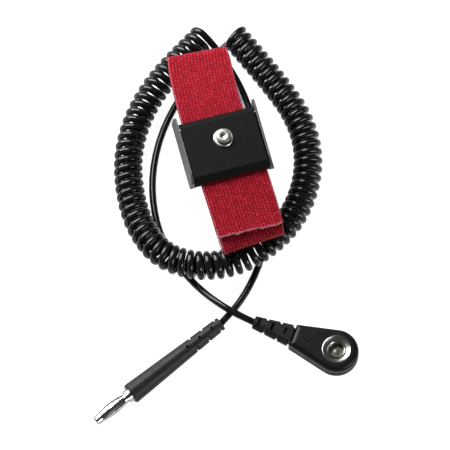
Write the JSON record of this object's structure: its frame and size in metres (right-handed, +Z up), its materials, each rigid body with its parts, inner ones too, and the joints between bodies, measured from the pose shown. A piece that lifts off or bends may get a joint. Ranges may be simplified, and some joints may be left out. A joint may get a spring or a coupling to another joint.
{
  "type": "esd wrist strap",
  "caption": "Adjustable elastic grounding wristband with a lever buckle and snap stud, and a curly cord with a snap socket at one end and a banana plug at the other.",
  "frame": {"origin": "on the snap stud's axis, at the middle of the height of its head; the bench the strap lies on is 29.4 mm below", "axes": "+Z up, out of the cover along the snap stud; +Y along the band towards the hinge end of the buckle; +X across the band"},
  "size_m": [0.103, 0.1363, 0.0304],
  "materials": {
    "band": "matt knit",
    "lining": "matt knit with silver-grey conductive thread",
    "buckle": "fine matt texture",
    "stainless": "brushed",
    "nickel": "nickel plate, slightly worn",
    "cord_jacket": "satin polyurethane",
    "moulding": "matt moulded rubber-like plastic",
    "spring_steel": "bright wire",
    "brass": "plain",
    "resistor_body": "lacquered",
    "tinned_wire": "tinned"
  },
  "bodies": {
    "cord_set": {"coil": "cord_jacket", "lead_to_snap": "cord_jacket", "lead_to_plug": "cord_jacket", "snap_strain_relief": "moulding", "snap_housing_lower": "moulding", "snap_housing_upper": "moulding", "snap_socket": "nickel", "socket_spring": "spring_steel", "socket_rivet": "brass", "socket_tag": "brass", "resistor": "resistor_body", "resistor_lead_rear": "tinned_wire", "resistor_lead_front": "tinned_wire", "plug_strain_relief": "moulding", "plug_grip": "moulding", "plug_solder_barrel": "brass", "plug_wire_core": "tinned_wire", "plug_collar": "nickel", "plug_core_pin": "nickel", "plug_spring": "nickel"},
    "wristband": {"band": "band", "band_lining": "lining", "buckle_frame": "buckle", "contact_plate": "stainless", "hinge_pin": "stainless", "anchor_rivet_left": "stainless", "anchor_rivet_right": "stainless"},
    "cover": {"buckle_cover": "buckle", "snap_stud": "nickel", "stud_post": "nickel", "stud_washer": "stainless"}
  },
  "joints": [
    {"name": "wristband_lift", "type": "slide", "parent": "cord_set", "child": "wristband", "axis": [0, 0, 1], "range_m": [0, 0.1]},
    {"name": "cover_hinge", "type": "hinge", "parent": "wristband", "child": "cover", "pos_m": [-0.0002, 0.0071, -0.0037], "axis": [-1, 0, 0], "range_deg": [0, 95]}
  ]
}
